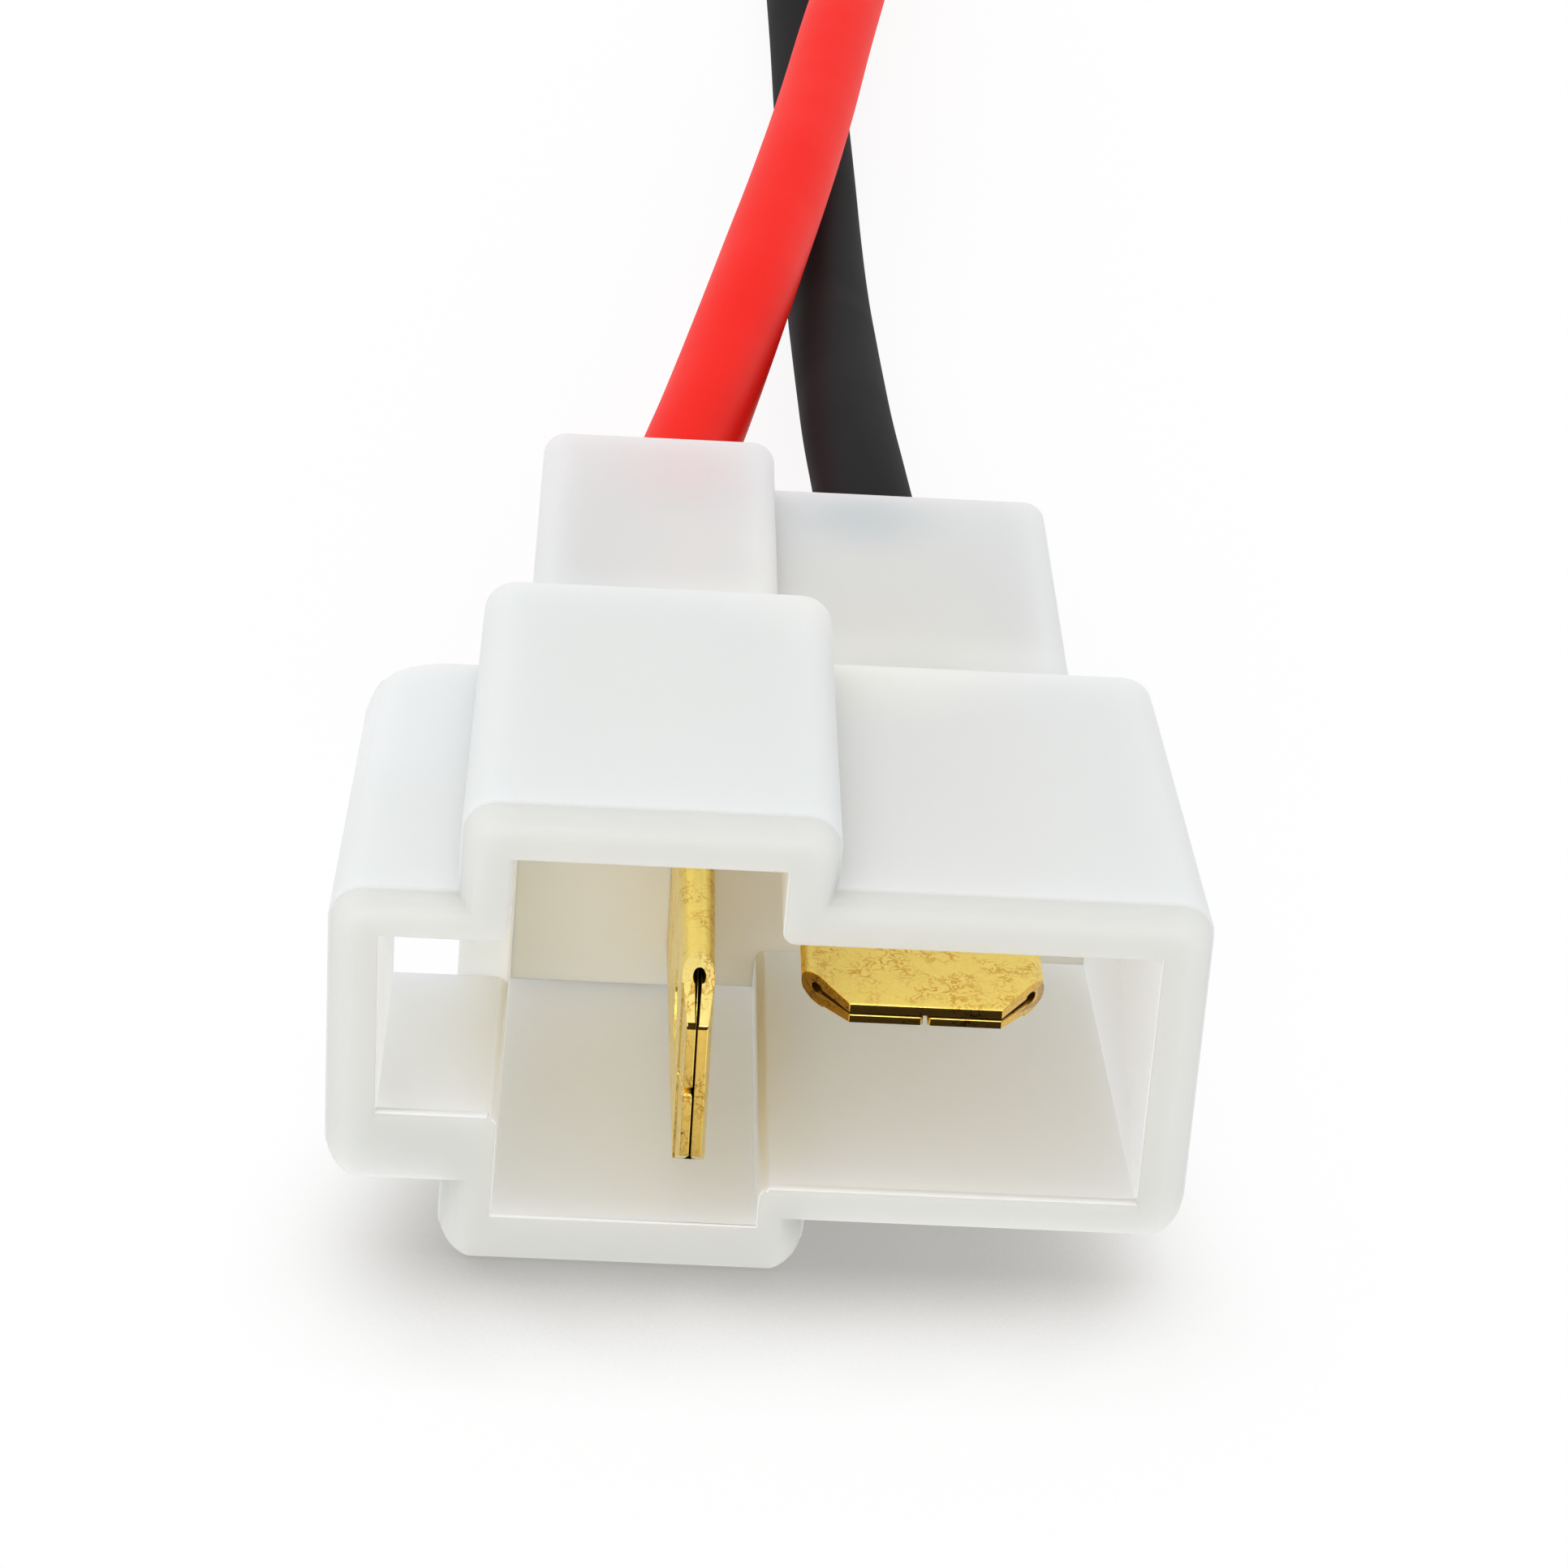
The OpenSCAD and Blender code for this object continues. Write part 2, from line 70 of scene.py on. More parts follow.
# puts a finished bmesh into an object at the origin, on the part's one body
def placePiece(name, bm, materials, smoothAngle):
    mesh = bpy.data.meshes.new(name)
    bm.to_mesh(mesh)
    bm.free()
    for material in materials:
        mesh.materials.append(material)
    mesh.shade_smooth()
    mesh.set_sharp_from_angle(angle=radians(smoothAngle))
    piece = bpy.data.objects.new(name, mesh)
    scene.collection.objects.link(piece)
    flatFaces = piece.modifiers.new("flatFaces", "WEIGHTED_NORMAL")
    flatFaces.keep_sharp = True
    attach(piece, "root")
    return piece


# camera: long lens from above the mating face
cameraSet = {
    "lens": 104.706,
    "place": (-4.357, -114.665, 66.08),  # mm
    "right": (0.998167, -0.013138, 0.059085),
    "up": (-0.046492, 0.458640, 0.887405),
    "back": (-0.038758, -0.888525, 0.457188),
}
cameraData = bpy.data.cameras.new("camera")
cameraData.lens = cameraSet["lens"]
cameraData.sensor_width = 36
cameraData.clip_start = 0.001
cameraData.clip_end = 50
camera = bpy.data.objects.new("camera", cameraData)
scene.collection.objects.link(camera)
turn = Matrix((cameraSet["right"], cameraSet["up"], cameraSet["back"])).transposed()
camera.matrix_world = Matrix.Translation(Vector(cameraSet["place"]) * mm) @ turn.to_4x4()
scene.camera = camera
print("camera set")


# sheaths' marks: sizes in mm, and the draw lines' stretch along the lead
sheathSet = {
    "line": 0.35, "stretch": 0.03, "cloud": 6, "matte": (-0.05, 0.07), "ripple": 0.12, "rippleDepth": 0.02,
}


# soft PVC sheath, extruded: satin, with faint draw lines along the lead
def sheathMaterial(name, body, worn, roughness, gloss):
    smoother, rougher = sheathSet["matte"]
    made, tree = newMaterial(name)
    place = addNode(tree, "ShaderNodeTexCoord")
    along = addNode(tree, "ShaderNodeMapping", values={"Scale": (1, sheathSet["stretch"], 1)},
                    links={"Vector": place.outputs["Object"]})
    lines = addNode(tree, "ShaderNodeTexNoise", values={"Scale": 1 / (sheathSet["line"] * mm), "Detail": 3},
                    links={"Vector": along.outputs["Vector"]})
    clouds = addNode(tree, "ShaderNodeTexNoise",
                     values={"Scale": 1 / (sheathSet["cloud"] * mm), "Detail": 2},
                     links={"Vector": place.outputs["Object"]})
    shade = addNode(tree, "ShaderNodeMix", settings={"data_type": "RGBA"},
                    values={6: colour(body), 7: colour(worn)},
                    links={"Factor": clouds.outputs["Fac"]})
    matte = addNode(tree, "ShaderNodeMapRange",
                    values={"To Min": roughness + smoother, "To Max": roughness + rougher},
                    links={"Value": clouds.outputs["Fac"]})
    ripple = addNode(tree, "ShaderNodeBump",
                     values={"Strength": sheathSet["ripple"], "Distance": sheathSet["rippleDepth"] * mm},
                     links={"Height": lines.outputs["Fac"]})
    shader = addNode(tree, "ShaderNodeBsdfPrincipled", values={"IOR": 1.53, "Specular IOR Level": gloss},
                     links={"Base Color": shade.outputs[2], "Roughness": matte.outputs["Result"],
                            "Normal": ripple.outputs["Normal"]})
    addNode(tree, "ShaderNodeOutputMaterial", links={"Surface": shader.outputs["BSDF"]})
    return made


# leads: the routes repeat the points of the part's source, in mm
redLeadSet = {
    "node": "red_lead", "slot": "red_sheath", "diameter": 3.2, "exit": (-3.3, 14.2, 5.1),
    "colours": ("#FF1C0C", "#F81608"), "roughness": 0.45, "gloss": 0.04,
    "route": [(-3.4, 8.2, 5.2), (-3.4, 12.2, 5.2), (-3.3, 15, 5.1), (-3, 20, 5.1), (-2.4, 26, 5.1),
              (-1.5, 32, 5.1), (-0.5, 39, 5.1), (0.6, 47, 5.1), (1.8, 56, 5), (2.9, 65, 4.9),
              (4, 75, 4.8), (5.2, 86, 4.4), (6.1, 96, 3.8), (6.7, 106, 3), (6.9, 116, 2.2),
              (6.9, 126, 1.7), (6.7, 136, 1.6), (6.5, 146, 1.6), (6.5, 157, 1.6)],
}
blackLeadSet = {
    "node": "black_lead", "slot": "black_sheath", "diameter": 3.2, "exit": (4, 14.2, 6.1),
    "colours": ("#282829", "#232324"), "roughness": 0.55, "gloss": 0.01,
    "route": [(4.05, 8.2, 6.1), (4.05, 12.2, 6.1), (4, 15, 6.1), (3.8, 20, 5.9), (3.6, 26, 5.3),
              (3.45, 32, 4.5), (3.4, 38, 3.6), (3.35, 44, 2.8), (3.3, 50, 2.1), (3.25, 57, 1.7),
              (3.2, 65, 1.6), (3.1, 75, 1.6), (3, 86, 1.6), (2.8, 97, 1.6), (2.4, 108, 1.6),
              (1.9, 119, 1.6), (1.3, 130, 1.6), (0.8, 140, 1.6), (0.5, 149, 1.6), (0.5, 157, 1.6)],
}


# a lead's sheath is a round curve through its route
def makeLead(name, leadSet):
    curve = bpy.data.curves.new(name, "CURVE")
    curve.dimensions = "3D"
    curve.resolution_u = 10
    curve.bevel_depth = leadSet["diameter"] / 2 * mm
    curve.bevel_resolution = 10
    curve.use_fill_caps = True
    spline = curve.splines.new("BEZIER")
    spline.bezier_points.add(len(leadSet["route"]) - 1)
    for knot, point in zip(spline.bezier_points, leadSet["route"]):
        knot.co = Vector(point) * mm
        knot.handle_left_type = knot.handle_right_type = "AUTO"
    curve.materials.append(sheathMaterial(name + "Pvc", *leadSet["colours"], leadSet["roughness"],
                                          leadSet["gloss"]))
    lead = bpy.data.objects.new(name, curve)
    scene.collection.objects.link(lead)
    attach(lead, "root")
    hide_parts(leadSet["node"])
    return lead


redLead = makeLead("redLead", redLeadSet)
blackLead = makeLead("blackLead", blackLeadSet)
print("leads laid")


# conductors: nineteen strands laid in rings of 1, 6 and 12, in mm
conductorSet = {
    "strand": 0.2, "slim": 0.97, "sides": 8, "steps": 10, "lay": 30, "merge": 0.0005,
    "crimp": (4.3, 7.7), "sheathFront": 8.2, "wide": 1.3, "flat": 0.75, "bared": (157, 164),
    "colours": ("#D08A62", "#B56B45"), "stain": 0.6, "matte": (0.22, 0.42),
}


# bare copper wire, drawn: bright, with a little brown tarnish in random patches
def copperMaterial():
    bright, tarnished = conductorSet["colours"]
    low, high = conductorSet["matte"]
    made, tree = newMaterial("bareCopper")
    place = addNode(tree, "ShaderNodeTexCoord")
    stain = addNode(tree, "ShaderNodeTexNoise",
                    values={"Scale": 1 / (conductorSet["stain"] * mm), "Detail": 4},
                    links={"Vector": place.outputs["Object"]})
    shade = addNode(tree, "ShaderNodeMix", settings={"data_type": "RGBA"},
                    values={6: colour(bright), 7: colour(tarnished)},
                    links={"Factor": stain.outputs["Fac"]})
    matte = addNode(tree, "ShaderNodeMapRange", values={"To Min": low, "To Max": high},
                    links={"Value": stain.outputs["Fac"]})
    shader = addNode(tree, "ShaderNodeBsdfPrincipled", values={"Metallic": 1.0},
                     links={"Base Color": shade.outputs[2], "Roughness": matte.outputs["Result"]})
    addNode(tree, "ShaderNodeOutputMaterial", links={"Surface": shader.outputs["BSDF"]})
    return made


# one bundle of strands along Y from zero, twisted about the axis
def addBundle(bm, length):
    strand = conductorSet["strand"] * mm
    steps = conductorSet["steps"]
    for ring, count in ((0, 1), (1, 6), (2, 12)):
        for k in range(count):
            bearing = 2 * pi * (k + ring / 4) / count
            centre = Vector((cos(bearing), 0, sin(bearing))) * 2 * ring * strand
            facing = Matrix.Translation(centre) @ Matrix.Rotation(pi / 2, 4, "X")
            disc = bmesh.ops.create_circle(bm, cap_ends=True, segments=conductorSet["sides"],
                                           radius=strand * conductorSet["slim"], matrix=facing)["verts"]
            bmesh.ops.spin(bm, geom=[disc[0].link_faces[0]], cent=(0, 0, 0), axis=(0, 1, 0),
                           angle=2 * pi * length / conductorSet["lay"], dvec=(0, length * mm / steps, 0),
                           steps=steps, use_merge=False)


# the strands in the crimp, squeezed flat, and those bared at the far end
def makeConductor(name, node, crimpAxis, baredAxis, upright):
    bm = bmesh.new()
    addBundle(bm, conductorSet["sheathFront"] - conductorSet["crimp"][0])
    bmesh.ops.translate(bm, verts=bm.verts, vec=(0, conductorSet["crimp"][0] * mm, 0))
    squeezed = [v for v in bm.verts if v.co.y < conductorSet["crimp"][1] * mm]
    wide, flat = conductorSet["wide"], conductorSet["flat"]
    bmesh.ops.scale(bm, verts=squeezed, vec=(flat, 1, wide) if upright else (wide, 1, flat))
    bmesh.ops.translate(bm, verts=bm.verts, vec=(crimpAxis[0] * mm, 0, crimpAxis[1] * mm))
    laid = set(bm.verts)
    addBundle(bm, conductorSet["bared"][1] - conductorSet["bared"][0])
    fresh = [v for v in bm.verts if v not in laid]
    bmesh.ops.translate(bm, verts=fresh,
                        vec=(baredAxis[0] * mm, conductorSet["bared"][0] * mm, baredAxis[1] * mm))
    bmesh.ops.remove_doubles(bm, verts=bm.verts, dist=conductorSet["merge"] * mm)
    bmesh.ops.recalc_face_normals(bm, faces=bm.faces)
    piece = placePiece(name, bm, [copper], smoothAngle=50)
    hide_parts(node)
    return piece


copper = copperMaterial()
redConductor = makeConductor("redConductor", "red_conductor", (-3.4, 5.2), (6.5, 1.6), True)
blackConductor = makeConductor("blackConductor", "black_conductor", (4.05, 6.1), (0.5, 1.6), False)

print("conductors laid")


# nylon's marks: sizes, steps and places along Y in mm
nylonSet = {
    "flow": 5, "flowShare": 0.16, "grain": 0.14, "sparkStep": 0.012, "textured": (-13.5, -13.2),
    "lip": (-13.53, -13.43), "lipStep": 0.04, "ragged": 0.06,
    "matte": (0.4, 0.55), "gloss": 0.4, "colourReach": (1.0, 1.0, 0.985),
}


# natural nylon, injection moulded: milky and translucent, with spark-textured faces behind a smooth rim;
# light passes through the walls, so that the socket glows softly inside, helped by inner skins painted
# lighter
def nylonMaterial(name, skinSet):
    shallow, deep = skinSet["colours"]
    depth, textured = skinSet["depth"], nylonSet["textured"]
    lipPlace, dull = nylonSet["lip"], nylonSet["matte"]
    made, tree = newMaterial(name)
    place = addNode(tree, "ShaderNodeTexCoord")
    parts = addNode(tree, "ShaderNodeSeparateXYZ", links={"Vector": place.outputs["Object"]})
    flow = addNode(tree, "ShaderNodeTexNoise", values={"Scale": 1 / (nylonSet["flow"] * mm), "Detail": 2},
                   links={"Vector": place.outputs["Object"]})
    grain = addNode(tree, "ShaderNodeTexNoise", values={"Scale": 1 / (nylonSet["grain"] * mm), "Detail": 2},
                    links={"Vector": place.outputs["Object"]})
    inwards = addNode(tree, "ShaderNodeMapRange",
                      settings={"interpolation_type": "SMOOTHSTEP"},
                      values={"From Min": depth[0] * mm, "From Max": depth[1] * mm},
                      links={"Value": parts.outputs["Y"]})
    cloudy = addNode(tree, "ShaderNodeMath", settings={"operation": "MULTIPLY_ADD"},
                     values={1: nylonSet["flowShare"]},
                     links={0: flow.outputs["Fac"], 2: inwards.outputs["Result"]})
    shade = addNode(tree, "ShaderNodeMix", settings={"data_type": "RGBA"},
                    values={6: colour(shallow), 7: colour(deep)},
                    links={"Factor": cloudy.outputs["Value"]})
    # painted tints over the sleeves, for what their milky walls show of the crimps and sheaths beneath
    for tint, centre, radii in skinSet.get("paintedShowThrough", []):
        spread = addNode(tree, "ShaderNodeMapping",
                         values={"Location": (-centre[0] / radii[0], -centre[1] / radii[1], 0),
                                 "Scale": (1 / (radii[0] * mm), 1 / (radii[1] * mm), 0)},
                         links={"Vector": place.outputs["Object"]})
        patch = addNode(tree, "ShaderNodeTexGradient", settings={"gradient_type": "SPHERICAL"},
                        links={"Vector": spread.outputs["Vector"]})
        soft = addNode(tree, "ShaderNodeMapRange", settings={"interpolation_type": "SMOOTHSTEP"},
                       links={"Value": patch.outputs["Fac"]})
        shade = addNode(tree, "ShaderNodeMix", settings={"data_type": "RGBA"}, values={7: colour(tint)},
                        links={"Factor": soft.outputs["Result"], 6: shade.outputs[2]})
    matte = addNode(tree, "ShaderNodeMapRange", values={"To Min": dull[0], "To Max": dull[1]},
                    links={"Value": grain.outputs["Fac"]})
    behindRim = addNode(tree, "ShaderNodeMapRange",
                        values={"From Min": textured[0] * mm, "From Max": textured[1] * mm,
                                "To Max": skinSet["texture"]},
                        links={"Value": parts.outputs["Y"]})
    ragged = addNode(tree, "ShaderNodeMath", settings={"operation": "MULTIPLY_ADD"},
                     values={1: nylonSet["ragged"] * mm},
                     links={0: grain.outputs["Fac"], 2: parts.outputs["Y"]})
    lip = addNode(tree, "ShaderNodeMapRange",
                  values={"From Min": lipPlace[0] * mm, "From Max": lipPlace[1] * mm},
                  links={"Value": ragged.outputs["Value"]})
    step = addNode(tree, "ShaderNodeBump",
                   values={"Distance": nylonSet["lipStep"] * mm, "Strength": skinSet["lip"]},
                   links={"Height": lip.outputs["Result"]})
    spark = addNode(tree, "ShaderNodeBump", values={"Distance": nylonSet["sparkStep"] * mm},
                    links={"Height": grain.outputs["Fac"], "Strength": behindRim.outputs["Result"],
                           "Normal": step.outputs["Normal"]})
    shader = addNode(tree, "ShaderNodeBsdfPrincipled",
                     values={"IOR": 1.53, "Specular IOR Level": nylonSet["gloss"], "Subsurface Weight": 1.0,
                             "Subsurface Radius": nylonSet["colourReach"],
                             "Subsurface Scale": skinSet["reach"] * mm},
                     links={"Base Color": shade.outputs[2], "Roughness": matte.outputs["Result"],
                            "Normal": spark.outputs["Normal"]})
    addNode(tree, "ShaderNodeOutputMaterial", links={"Surface": shader.outputs["BSDF"]})
    return made


# housing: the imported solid, edges broken, in mm and degrees; a skin's depth runs from its first
# colour to its second along Y, its reach sets how far light travels, and flat and facing are cosines
housingSet = {
    "edge": 0.09, "segments": 2, "sharp": 60, "merge": 0.001, "joined": 0.6, "leadIn": 0.26,
    "flat": 0.97, "facing": 0.5,
    "skins": {
        "naturalNylon": {
            # the first colour is painted shade: the front rim is drawn darker than the tops, against the
            # stronger light it gets
            "colours": ("#CDCECA", "#E0E3E4"), "depth": (-13.6, -13.4),
            "lip": 1.0, "texture": 0.3, "reach": 3,
            # painted tints: colour standing in for the light that the milky walls carry from the crimps and
            # sheaths beneath
            "paintedShowThrough": [  # colour, centre and radii of what the sleeves' milky walls show faintly
                ("#F3F2E6", (3.2, 3.5), (6.5, 9)),      # flat tab's crimps
                ("#F4F4EF", (-2, 5), (4.5, 5.5)),       # upright tab's crimps
                ("#E6D6D8", (-2.4, 12), (3, 4.6)),      # red sheath
                ("#C8D0D3", (3.1, 12.6), (3.2, 3.6)),   # black sheath
            ],
        },
        # the inner skins are painted lighter than the outside skin, as painted light for the socket's
        # inside
        "naturalNylonInside": {"colours": ("#FBFEFF", "#FBFEFF"), "depth": (-13.5, -1.5),
                               "lip": 0.0, "texture": 0.0, "reach": 30},
        "naturalNylonBack": {"colours": ("#FBFEFF", "#FBFEFF"), "depth": (-13.5, -1.5),
                             "lip": 0.0, "texture": 0.1, "reach": 0.2},
        "naturalNylonFloor": {"colours": ("#F4FAFF", "#F4FAFE"), "depth": (-13.5, -1.5),
                              "lip": 0.0, "texture": 0.1, "reach": 8},
    },
    "hollows": [
        ((-6.95, -14.15, 1.3), (0.4, -1.3, 11.9)), ((-0.1, -14.15, 2.5), (9.95, -1.3, 9.85)),
        ((-9.95, -14.15, 4.3), (-6.3, -1.3, 9.55)),
        ((-6.1, -1.7, 0.7), (-0.35, 14.15, 10.85)), ((0.7, -1.7, 2.2), (8.1, 14.15, 9.3)),
    ],
}


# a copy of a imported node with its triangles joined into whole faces, where they turn by less than joined
def copyNode(node, pieceSet):
    bm = bmesh.new()
    bm.from_mesh(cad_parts[node].data)
    bmesh.ops.remove_doubles(bm, verts=bm.verts, dist=pieceSet["merge"] * mm)
    bmesh.ops.dissolve_limit(bm, angle_limit=radians(pieceSet["joined"]), verts=bm.verts, edges=bm.edges)
    return bm


# whether a point lies in one of a piece's hollows, such as the socket and the sleeves' bores
def inHollow(point, pieceSet):
    boxes = pieceSet.get("hollows", [])
    return any(all(a < c / mm < b for a, c, b in zip(low, point, high)) for low, high in boxes)


# rounds the given edges by a size in mm
def bevelEdges(bm, edges, size, segments):
    bmesh.ops.bevel(bm, geom=edges, offset=size * mm, offset_type="OFFSET", affect="EDGES",
                    segments=segments, profile=0.5, material=-1, clamp_overlap=False)


# breaks the outward edges that are sharper than the given angle, but not those deep in a hollow
def breakEdges(bm, pieceSet):
    edges = []
    for edge in bm.edges:
        middle = (edge.verts[0].co + edge.verts[1].co) / 2
        convex = edge.is_manifold and edge.is_convex
        sharp = convex and edge.calc_face_angle(0) > radians(pieceSet["sharp"])
        if sharp and not inHollow(middle, pieceSet):
            edges.append(edge)
    bevelEdges(bm, edges, pieceSet["edge"], pieceSet["segments"])
    bmesh.ops.dissolve_degenerate(bm, dist=pieceSet["merge"] * mm, edges=bm.edges)


# the front edges of the socket's floors are eased for the plug; the bounds are cosines
def easeFloors(bm):
    edges = []
    for edge in bm.edges:
        turns = [f.normal for f in edge.link_faces]
        if len(turns) == 2 and edge.is_convex:
            if min(n.y for n in turns) < -0.99 and max(n.z for n in turns) > 0.9:
                edges.append(edge)
    bevelEdges(bm, edges, housingSet["leadIn"], 2)


# skins: 0 outside, 1 walls and ceilings inside, 2 back walls and broken edges inside, 3 floors
def makeHousing():
    bm = copyNode("housing", housingSet)
    easeFloors(bm)
    breakEdges(bm, housingSet)
    facing = housingSet["facing"]
    for face in bm.faces:
        turn = face.normal
        broken = max(abs(c) for c in turn) < housingSet["flat"]
        if inHollow(face.calc_center_median(), housingSet):
            face.material_index = 2 if broken or turn.y < -facing else 3 if turn.z > facing else 1
    skins = [nylonMaterial(name, skinSet) for name, skinSet in housingSet["skins"].items()]
    piece = placePiece("housingShell", bm, skins, smoothAngle=40)
    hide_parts("housing")
    return piece


# thin web that closes the left sleeve's front beside the blade's slot, in mm; its skin is painted lighter
# than the outside nylon, as painted light at the socket's back
webSet = {
    "low": (-6.88, -1.73, 1.3), "high": (-2.36, -1.61, 8.8), "edge": 0.02,
    "skin": {"colours": ("#FCFDFF", "#FCFDFF"), "depth": (-13.5, -1.5),
             "lip": 0.0, "texture": 0.1, "reach": 0.1},
}


def makeWeb():
    low, high = Vector(webSet["low"]) * mm, Vector(webSet["high"]) * mm
    block = Matrix.Translation((low + high) / 2) @ Matrix.Diagonal(high - low).to_4x4()
    bm = bmesh.new()
    bmesh.ops.create_cube(bm, size=1, matrix=block)
    bevelEdges(bm, bm.edges[:], webSet["edge"], 2)
    skin = nylonMaterial("naturalNylonWeb", webSet["skin"])
    piece = placePiece("sleeveWeb", bm, [skin], smoothAngle=40)
    return piece


housingShell = makeHousing()
sleeveWeb = makeWeb()
print("housing finished", len(housingShell.data.polygons), len(sleeveWeb.data.polygons))


# brass's marks: sizes in mm, and the ranges of noise that show as creases, pressed areas, grain and specks
brassSet = {
    "wrinkle": 0.3, "areas": 0.9, "grain": 0.09, "speck": 0.6,
    "crease": {"From Min": 0.455, "From Max": 0.49}, "pressed": {"From Min": 0.4, "From Max": 0.6},
    "peel": {"From Min": 0.35, "From Max": 0.7}, "dots": {"From Min": 0.04, "From Max": 0.09},
    "grainShare": 0.16, "matte": (-0.06, 0.1), "relief": 0.5, "reliefDepth": 0.01,
}


# rolled brass strip: bright and warm, with thin creases from pressing, drawn darker as painted shade, a
# fine grain and small dark specks
def brassMaterial(name, bright, deep, dark, roughness):
    smoother, rougher = brassSet["matte"]
    made, tree = newMaterial(name)
    place = addNode(tree, "ShaderNodeTexCoord")
    wrinkle = addNode(tree, "ShaderNodeTexNoise",
                      values={"Scale": 1 / (brassSet["wrinkle"] * mm), "Detail": 3, "Distortion": 0.8},
                      links={"Vector": place.outputs["Object"]})
    fold = addNode(tree, "ShaderNodeMath", settings={"operation": "PINGPONG"}, values={1: 0.5},
                   links={0: wrinkle.outputs["Fac"]})
    crease = addNode(tree, "ShaderNodeMapRange", values=brassSet["crease"],
                     links={"Value": fold.outputs["Value"]})
    grain = addNode(tree, "ShaderNodeTexNoise", values={"Scale": 1 / (brassSet["grain"] * mm), "Detail": 2},
                    links={"Vector": place.outputs["Object"]})
    peel = addNode(tree, "ShaderNodeMapRange", values=brassSet["peel"],
                   links={"Value": grain.outputs["Fac"]})
    areas = addNode(tree, "ShaderNodeTexNoise", values={"Scale": 1 / (brassSet["areas"] * mm), "Detail": 1},
                    links={"Vector": place.outputs["Object"]})
    pressed = addNode(tree, "ShaderNodeMapRange", values=brassSet["pressed"],
                      links={"Value": areas.outputs["Fac"]})
    broken = addNode(tree, "ShaderNodeMath", settings={"operation": "MULTIPLY"},
                     links={0: crease.outputs["Result"], 1: pressed.outputs["Result"]})
    grainAndCreaseMask = addNode(tree, "ShaderNodeMath", settings={"operation": "MULTIPLY_ADD"},
                     values={1: brassSet["grainShare"]},
                     links={0: peel.outputs["Result"], 2: broken.outputs["Value"]})
    specks = addNode(tree, "ShaderNodeTexVoronoi", values={"Scale": 1 / (brassSet["speck"] * mm)},
                     links={"Vector": place.outputs["Object"]})
    dots = addNode(tree, "ShaderNodeMapRange", values=brassSet["dots"],
                   links={"Value": specks.outputs["Distance"]})
    # the creases take the deep colour as painted shade; the grain's share of it is tone that differs at
    # random
    gold = addNode(tree, "ShaderNodeMix", settings={"data_type": "RGBA"},
                   values={6: colour(bright), 7: colour(deep)}, links={"Factor": grainAndCreaseMask.outputs["Value"]})
    shade = addNode(tree, "ShaderNodeMix", settings={"data_type": "RGBA"},
                    values={6: colour(dark)}, links={"Factor": dots.outputs["Result"], 7: gold.outputs[2]})
    matte = addNode(tree, "ShaderNodeMapRange",
                    values={"To Min": roughness + smoother, "To Max": roughness + rougher},
                    links={"Value": grain.outputs["Fac"]})
    relief = addNode(tree, "ShaderNodeBump", settings={"invert": True},
                     values={"Strength": brassSet["relief"], "Distance": brassSet["reliefDepth"] * mm},
                     links={"Height": grainAndCreaseMask.outputs["Value"]})
    shader = addNode(tree, "ShaderNodeBsdfPrincipled", values={"Metallic": 1.0},
                     links={"Base Color": shade.outputs[2], "Roughness": matte.outputs["Result"],
                            "Normal": relief.outputs["Normal"]})
    addNode(tree, "ShaderNodeOutputMaterial", links={"Surface": shader.outputs["BSDF"]})
    return made


# terminals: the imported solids, edges broken, in mm and degrees; the faces ahead of tip, closed and blade
# along Y are the tip, its very end and the whole blade; bright, deep and dark colours for each kind of face
terminalSet = {
    "edge": 0.03, "segments": 2, "sharp": 50, "merge": 0.0005, "joined": 0.6,
    "tip": -11.9, "closed": -13.5, "blade": -1.6, "tipRoll": 0.07, "cornerAbove": 6.5,
    "slit": 0.3, "seam": 0.1, "close": 0.4,
    "rolled": ("#FFE47A", "#E2AE48", "#7A5618"),
    "roughness": {"rolled": 0.3, "front": 0.36, "cut": 0.2, "inner": 0.5},
    # the upright tab's slit and worn corner are painted near black as painted shade
    "upright": {"node": "upright_terminal", "outwards": (1, 0, 0), "across": (0, 0, 1), "corner": 0.1,
                "front": ("#D9B55C", "#A98238", "#4A340F"), "cut": ("#FFE88E", "#D9A63E", "#4A340F"),
                "inner": ("#3A290C", "#1A1104", "#0C0802")},
    # the flat tab's sheared front is painted near black as a painted dark reflection, and its slit is
    # painted darker as shade
    "flat": {"node": "flat_terminal", "outwards": (0, 0, 1), "across": (1, 0, 0), "corner": 0,
             "front": ("#3A290C", "#1A1104", "#0C0802"), "cut": ("#EFC25A", "#B07F28", "#4A340F"),
             "inner": ("#A87C2C", "#6A4A16", "#2A1C06")},
}


# the strip's outer edge is rolled over where the tip was sheared; bounds on tilts are cosines from here on
def rollTip(bm, outwards):
    edges = []
    for edge in bm.edges:
        turns = [f.normal.y for f in edge.link_faces]
        outer = max([f.normal @ outwards for f in edge.link_faces], default=0) > 0.9
        ahead = max(v.co.y for v in edge.verts) < terminalSet["tip"] * mm
        if len(turns) == 2 and ahead and outer and min(turns) < -0.99 and -0.3 < max(turns) < -0.05:
            edges.append(edge)
    bevelEdges(bm, edges, terminalSet["tipRoll"], 3)


# the upper corner between the upright tip and its chamfer is worn round; its faces take the skin painted
# dark as shade
def roundCorner(bm, across, size):
    edges = []
    for edge in bm.edges:
        turns = [f.normal.y for f in edge.link_faces]
        ahead = max(v.co.y for v in edge.verts) < terminalSet["closed"] * mm
        above = min(v.co @ across for v in edge.verts) > terminalSet["cornerAbove"] * mm
        if len(turns) == 2 and ahead and above and min(turns) < -0.99 and -0.9 < max(turns) < -0.5:
            edges.append(edge)
    bevelEdges(bm, edges, size, 2)


